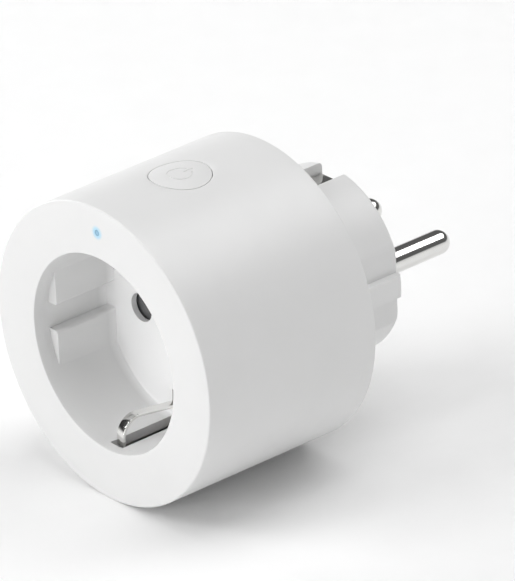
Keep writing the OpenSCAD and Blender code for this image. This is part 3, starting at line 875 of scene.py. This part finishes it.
class PLUG_OT_wall_pins(PlugOperator):
    """Two turned wall pins with rounded tips and riveted heads"""
    bl_idname = "plug.wall_pins"
    bl_label = "Wall pins"

    def build(self, s, m):
        head, r, soft, step = m.pin_head_r, m.pin_r, 0.3 * MM, 0.15 * MM
        seat, collar = s.tower_end - 0.8 * MM, BOSS_END + 0.02 * MM
        section = [(0, PIN_LOW.y)] + arc(head - soft, PIN_LOW.y + soft, soft, -90, 0, 4)
        section += [(head, seat), (m.shank_r, seat), (m.shank_r, BOSS_END - 0.1 * MM),
                    (r - step, collar), (r, collar + step)]
        section += arc(0, PIN_HIGH.y - r, r, 0, 90, 14)
        for side, x in (("left", -PIN_X), ("right", PIN_X)):
            pin = turned("pin_" + side, section, SMALL_ROUND, centre=(x, 0, 0))
            hand_over(pin, "pin_metal", "wall_pin_" + side)


class PLUG_OT_rear_earth(PlugOperator):
    """Two bent rear earth strips and the female earth contact between the pins"""
    bl_idname = "plug.rear_earth"
    bl_label = "Rear earth contacts"

    def build(self, s, m):
        low, high = STRIP_LOW, STRIP_HIGH
        thick, lead, tip_r, corner = high.z - low.z, 0.3 * MM, 0.5 * MM, 0.2 * MM
        section = [(low.y, low.z), (high.y, low.z), (high.y, low.z + lead)]
        section += arc(high.y - tip_r, high.z - tip_r, tip_r, 20, 90, 4)
        section += [(low.y + thick, high.z), (low.y, high.z - corner)]
        upper = side_plate("earth_strip_upper", section, high.x)
        soft_edges(upper, 0.12 * MM, 50, 2)
        lower = copied(upper, "earth_strip_lower", FLIP_Z)
        for strip, side in ((upper, "upper"), (lower, "lower")):
            hand_over(strip, "clip_metal", "rear_earth_strip_" + side)
        bore, outer, flare, slit = m.pin_r + 0.05 * MM, TUBE_HIGH.x, 0.3 * MM, 0.25 * MM
        bottom = TUBE_HIGH.y - 15 * MM
        section = [(0, TUBE_LOW.y), (outer - flare, TUBE_LOW.y), (outer, TUBE_LOW.y + flare),
                   (outer, TUBE_HIGH.y), (bore + flare, TUBE_HIGH.y), (bore, TUBE_HIGH.y - 2 * flare),
                   (bore, bottom), (0, bottom)]
        tube = turned("earth_tube", section, SMALL_ROUND, centre=(0, 0, EARTH_Z))
        cut(tube, block("slit", (-slit, bottom + 2 * MM, TUBE_LOW.z - PAST),
                        (slit, TUBE_HIGH.y + PAST, TUBE_HIGH.z + PAST)))
        outward(tube, 0.005 * MM)
        hand_over(tube, "pin_metal", "earth_socket_tube")


class PLUG_OT_shutter(PlugOperator):
    """Child-safety shutter with rounded arms, a raised hub and round pads for the pins"""
    bl_idname = "plug.shutter"
    bl_label = "Shutter"

    def build(self, s, m):
        low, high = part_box("shutter")
        half, hub_r, pad_r, axle_r = 3.5 * MM, high.z, 1.6 * MM, 1.55 * MM
        proud, gap = 0.2 * MM, 0.05 * MM
        arm_half = math.degrees(math.asin(half / high.x))
        section = arc(0, 0, high.x, -arm_half, arm_half, 12)
        section += [(-x, z) for x, z in arc(0, 0, high.x, arm_half, -arm_half, 12)]
        piece = plate("shutter_arms", [(x, low.y + proud, z) for x, z in section],
                      (0, high.y - low.y - proud, 0))
        join(piece, rod("hub", hub_r, low.y, high.y - gap))
        for x in (-PIN_X, PIN_X):
            join(piece, rod("pad", pad_r, low.y + gap, low.y + MM, x, 0, 40))
        cut(piece, rod("axle_way", axle_r, low.y - PAST, high.y + PAST))
        soft_edges(piece, 0.12 * MM, 50, 2)
        hand_over(piece, "shutter_plastic", "shutter", body="shutter")


class PLUG_OT_contacts(PlugOperator):
    """Two spring contacts with a flared mouth, four slits and a soldered tail"""
    bl_idname = "plug.contacts"
    bl_label = "Spring contacts"

    def build(self, s, m):
        bore, flare, slit = m.pin_r + 0.05 * MM, 0.35 * MM, 0.3 * MM
        tail_y, tail_half, thick, sunk = -8.5 * MM, 2 * MM, 0.8 * MM, 0.2 * MM
        for side, x in (("left", -PIN_X), ("right", PIN_X)):
            low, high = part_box("contact_" + side)
            outer = high.x - x
            section = [(outer, low.y + flare), (outer - 0.1 * MM, low.y), (bore + flare, low.y),
                       (bore, low.y + 2 * flare), (bore, high.y), (outer, high.y)]
            piece = turned("spring_" + side, section, SMALL_ROUND, centre=(x, 0, 0))
            tail = block("tail", (x - tail_half, tail_y, -outer + sunk - thick),
                         (x + tail_half, high.y, -outer + sunk))
            leg = block("leg", (x - tail_half, tail_y + 0.02 * MM, low.z),
                        (x + tail_half, tail_y + thick, -outer))
            join(piece, tail, leg)
            for wide, tall in ((slit, outer + PAST), (outer + PAST, slit)):
                cut(piece, block("slit", (x - wide, low.y - PAST, -tall),
                                 (x + wide, tail_y - 0.5 * MM, tall)))
            outward(piece, 0.005 * MM)
            soft_edges(piece, 0.06 * MM, 60, 1)
            hand_over(piece, "contact_bronze", "contact_" + side)


class PLUG_OT_relay(PlugOperator):
    """Relay with a rounded case, a base seam and solder pins"""
    bl_idname = "plug.relay"
    bl_label = "Relay"

    def build(self, s, m):
        low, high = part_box("relay")
        seam, base_tall, sunk, inset = high.z - 1.3 * MM, 1.2 * MM, 0.1 * MM, 0.2 * MM
        case = block("relay_case", low, (high.x, high.y, seam - base_tall))
        soft_edges(case, 0.6 * MM, 50, 4)
        base = block("relay_base", (low.x + inset, low.y + inset, seam - base_tall - sunk),
                     (high.x - inset, high.y - inset, seam))
        soft_edges(base, 0.2 * MM, 50, 2)
        hand_over(gather(case, base), "relay_case", "relay")
        wide, thick = MM, 0.4 * MM
        pins = [block("relay_pin", (x - wide, y - thick, seam - sunk),
                      (x + wide, y + thick, high.z - 0.02 * MM))
                for x in (-8.6 * MM, 8.6 * MM) for y in (-15 * MM, -10.4 * MM)]
        hand_over(gather(*pins), "shield_tin")


class PLUG_OT_capacitors(PlugOperator):
    """Two electrolytic capacitors with a crimped groove, a rubber foot and a scored top"""
    bl_idname = "plug.capacitors"
    bl_label = "Capacitors"

    def build(self, s, m):
        for name in ("main_capacitor", "output_capacitor"):
            low, high, x, y, r = upright(name)
            soft, crimp, foot, foot_r = 0.4 * MM, 0.3 * MM, low + 0.4 * MM, r - 0.6 * MM
            top = high - 0.12 * MM
            section = [(0, low), (foot_r, low), (foot_r, foot)]
            section += arc(r - soft, foot + soft, soft, -90, 0, 4)
            section += [(r, foot + 1.1 * MM), (r - crimp, foot + 1.5 * MM), (r, foot + 1.9 * MM)]
            section += arc(r - soft, high - soft, soft, 0, 90, 5)
            section += [(r - 0.9 * MM, high), (r - MM, top), (0, top)]
            piece = turned(name + "_can", section, SMALL_ROUND, (0, 0, 1), (x, y, 0))
            line, reach, deep = 0.09 * MM, r - 1.3 * MM, high - 0.25 * MM
            for wide, long in ((reach, line), (line, reach)):
                cut(piece, block("score", (x - wide, y - long, deep), (x + wide, y + long, high)))
            outward(piece, 0.005 * MM)
            hand_over(piece, "capacitor_sleeve", name)


class PLUG_OT_inductor(PlugOperator):
    """Drum core of the filter inductor with its copper winding"""
    bl_idname = "plug.inductor"
    bl_label = "Inductor"

    def build(self, s, m):
        low, high, x, y, r = upright("filter_inductor")
        flange, core, wire, soft, gap = MM, r - 0.9 * MM, 0.16 * MM, 0.2 * MM, 0.05 * MM
        section = [(0, low), (r, low)] + arc(r - soft, low + flange - soft, soft, 0, 90, 3)
        section += [(core, low + flange), (core, high - flange), (r, high - flange)]
        section += arc(r - soft, high - soft, soft, 0, 90, 3) + [(0, high)]
        drum = turned("drum_core", section, SMALL_ROUND, (0, 0, 1), (x, y, 0))
        hand_over(drum, "ferrite", "filter_inductor")
        start, end = low + flange + gap, high - flange - gap
        turns = int((end - start) / (2 * wire))
        coil_r, inner = r - 0.45 * MM, core + 0.03 * MM
        section = [(inner, start)]
        for i in range(turns):
            section += arc(coil_r, start + wire * (2 * i + 1), wire * 0.97, -80, 80, 4)
        section += [(inner, start + 2 * wire * turns)]
        coil = turned("winding", section, 48, (0, 0, 1), (x, y, 0))
        hand_over(coil, "copper_bar")


class PLUG_OT_board_parts(PlugOperator):
    """Small surface parts on both boards, and the solder joints of the pin header"""
    bl_idname = "plug.board_parts"
    bl_label = "Small board parts"

    def chips(self, name, places, top, size):
        """Rows of small bodies with tinned ends, standing on a board face."""
        bodies, ends = [], []
        wide, long, tall = size
        end_half, end_long = wide * 0.52, 0.2 * MM
        for x, y in places:
            bodies.append(block(name, (x - wide / 2, y - long / 2, top + 0.01 * MM),
                                (x + wide / 2, y + long / 2, top + tall)))
            for side in (-1, 1):
                edge = y + side * long / 2
                near, far = sorted((edge, edge + side * end_long))
                ends.append(block(name + "_end", (x - end_half, near, top),
                                  (x + end_half, far, top + tall)))
        hand_over(soft_edges(gather(*bodies), 0.05 * MM, 50, 2), "chip_epoxy")
        hand_over(soft_edges(gather(*ends), 0.04 * MM, 50, 1), "shield_tin")

    def build(self, s, m):
        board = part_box("control_board")[1].z
        passive, chip = (0.8 * MM, 1.2 * MM, 0.6 * MM), (3 * MM, 3.6 * MM, MM)
        near = [(x * MM, -29.5 * MM) for x in (-11, -9, -7, 7, 9, 11)]
        near += [(x * MM, -25.5 * MM) for x in (-12, -10, 10, 12)]
        self.chips("passive", near, board, passive)
        self.chips("regulator", [(x * MM, -20.5 * MM) for x in (-9.5, 9.5)], board, chip)
        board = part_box("power_board")[1].z
        self.chips("power_passive", [(x * MM, -8 * MM) for x in (-3, -1, 1, 3)], board, passive)
        self.chips("controller", [(0, -12.8 * MM)], board, chip)
        link_low, link_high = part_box("board_link")
        x, z, joint_r, tall = (link_low.x + link_high.x) / 2, link_high.z + MM, 0.4 * MM, 0.25 * MM
        joints = [post("joint", joint_r, z, z + tall, x, y * MM, 20) for y in (-8, -6.8, -5.6)]
        piece = soft_edges(gather(*joints), 0.1 * MM, 50, 3)
        hand_over(piece, "shield_tin")


class PLUG_OT_shield(PlugOperator):
    """Radio module lid, a folded tin box with two dimples, and its printed aerial"""
    bl_idname = "plug.shield"
    bl_label = "Radio lid"

    def build(self, s, m):
        low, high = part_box("wireless_shield")
        lid = block("radio_lid", (low.x, low.y, low.z + 0.02 * MM), high)
        soft_edges(lid, 0.25 * MM, 50, 3)
        inset, dimple_r, deep = 1.6 * MM, 0.4 * MM, 0.08 * MM
        for y in (low.y + inset, high.y - inset):
            cut(lid, post("dimple", dimple_r, high.z - deep, high.z + PAST, low.x + inset, y, 24))
        outward(lid, 0.003 * MM)
        hand_over(lid, "shield_tin", "wireless_shield")
        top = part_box("wireless_module")[1].z
        under, over = top - 0.02 * MM, top + 0.03 * MM
        start, step, line = high.x + 0.7 * MM, 0.75 * MM, 0.15 * MM
        near, far = low.y + MM, high.y - MM
        aerial = [block("aerial", (start + i * step - line, near, under),
                        (start + i * step + line, far, over)) for i in range(4)]
        for i in range(3):
            x = start + i * step
            y = near if i % 2 else far - 2 * line
            aerial.append(block("aerial", (x + line, y, under),
                                (x + step - line, y + 2 * line, over)))
        hand_over(gather(*aerial), "copper_bar")


class PLUG_OT_stage(bpy.types.Operator):
    """Floor, lights, room light and camera"""
    bl_idname = "plug.stage"
    bl_label = "Stage"

    def execute(self, context):
        v = context.scene.plug_stage
        only()
        bpy.ops.mesh.primitive_plane_add(size=v.floor, location=(0, 0, SHELL_LOW.z))
        floor = settled("stage_floor")
        pale = finish("stage_pale", (0.97, 0.97, 0.97), 0.6, 2 * MM, 0.01 * MM, mottle=0.01)
        floor.data.materials.append(pale)
        for name, place, size in (("front", (0, -1.2, 0.25), 0.6), ("key", (-0.5, -0.9, 0.9), 0.7),
                                  ("top", (0, 0, 1.2), 0.8), ("back", (0.2, 0.7, 1), 0.8),
                                  ("left", (-1.2, 0, 0.4), 0.6), ("right", (1.2, 0, 0.05), 0.5)):
            self.lamp(name + "_light", place, size, getattr(v, name))
        self.card()
        self.room(context.scene, v)
        self.camera(context.scene, v)
        return {"FINISHED"}

    def lamp(self, name, place, size, power):
        """Square soft light that faces the plug."""
        bpy.ops.object.light_add(type="AREA", location=place)
        lamp = bpy.context.object
        lamp.name = name
        lamp.data.shape, lamp.data.size, lamp.data.energy = "SQUARE", size, power
        lamp.rotation_euler = (-Vector(place)).to_track_quat("-Z", "Y").to_euler()

    def card(self):
        """Black card that only polished metal reflects."""
        place, side = Vector((-0.41, -0.3, 0.29)), 0.36
        bpy.ops.mesh.primitive_plane_add(size=side, location=place,
                                         rotation=place.to_track_quat("Z", "Y").to_euler())
        card = settled("stage_card")
        card.data.materials.append(finish("stage_black", (0.01, 0.01, 0.01), 0.8, 2 * MM))
        card.visible_camera = card.visible_diffuse = card.visible_shadow = False

    def room(self, scene, v):
        """Pale room that darkens overhead, so that polished metal has something to show."""
        scene.world = bpy.data.worlds.new("room")
        scene.world.use_nodes = True
        tree = scene.world.node_tree
        tree.nodes.clear()
        way = node(tree, "TexCoord").outputs["Generated"]
        height = node(tree, "SeparateXYZ", Vector=way).outputs["Z"]
        shade = node(tree, "MapRange", {"interpolation_type": "SMOOTHSTEP"}, Value=height,
                     From_Min=0.02, From_Max=0.2, To_Min=v.horizon, To_Max=v.sky)
        back = node(tree, "Background", Color=(1, 1, 1, 1), Strength=shade.outputs["Result"])
        node(tree, "OutputWorld", Surface=back.outputs["Background"])

    def camera(self, scene, v):
        """Long lens from the front right and above."""
        flat = math.cos(v.elevation)
        ahead = Vector((-math.sin(v.azimuth) * flat, math.cos(v.azimuth) * flat,
                        -math.sin(v.elevation)))
        right = Vector((math.cos(v.azimuth), math.sin(v.azimuth), 0))
        up = right.cross(ahead)
        turned_right = right * math.cos(v.roll) + up * math.sin(v.roll)
        turned_up = up * math.cos(v.roll) - right * math.sin(v.roll)
        facing = Matrix((turned_right, turned_up, -ahead)).transposed()
        bpy.ops.object.camera_add(location=v.place, rotation=facing.to_euler())
        camera = bpy.context.object
        camera.name = "camera"
        camera.data.lens = v.lens
        camera.data.clip_start, camera.data.clip_end = 0.01, 20
        scene.camera = camera
        scene.view_settings.view_transform = "Standard"


class PLUG_OT_finishes(bpy.types.Operator):
    """Gives every remaining CAD part its finish"""
    bl_idname = "plug.finishes"
    bl_label = "Finishes"

    def execute(self, context):
        for part in frame["record"]["subparts"]:
            coat(frame["nodes"][part["node"]], part["material_slot"])
        return {"FINISHED"}


BUILDERS = (PLUG_OT_stage, PLUG_OT_sleeve, PLUG_OT_recess, PLUG_OT_button, PLUG_OT_light,
            PLUG_OT_earth_clips, PLUG_OT_rear_cover, PLUG_OT_case_screws, PLUG_OT_wall_pins,
            PLUG_OT_rear_earth, PLUG_OT_shutter, PLUG_OT_contacts, PLUG_OT_relay,
            PLUG_OT_capacitors, PLUG_OT_inductor, PLUG_OT_board_parts, PLUG_OT_shield,
            PLUG_OT_finishes)


class PLUG_PT_panel(bpy.types.Panel):
    """Lists the builders in the sidebar"""
    bl_idname = "PLUG_PT_panel"
    bl_label = "Smart plug"
    bl_space_type = "VIEW_3D"
    bl_region_type = "UI"
    bl_category = "Smart plug"

    def draw(self, context):
        for kind in BUILDERS:
            self.layout.operator(kind.bl_idname)


GROUPS = {"plug_casing": CasingSizes, "plug_metal": MetalSizes, "plug_colours": Colours,
          "plug_stage": StageValues}
CLASSES = (*GROUPS.values(), *BUILDERS, PLUG_PT_panel)


def register():
    for kind in CLASSES:
        bpy.utils.register_class(kind)
    for name, kind in GROUPS.items():
        setattr(bpy.types.Scene, name, PointerProperty(type=kind))


def unregister():
    for name in GROUPS:
        delattr(bpy.types.Scene, name)
    for kind in reversed(CLASSES):
        bpy.utils.unregister_class(kind)


def main():
    """Builds the stage and every piece."""
    register()
    MATERIALS.update(make_materials(bpy.context.scene.plug_colours))
    for kind in BUILDERS:
        group, name = kind.bl_idname.split(".")
        getattr(getattr(bpy.ops, group), name)()
    only()


if __name__ == "__main__":
    main()
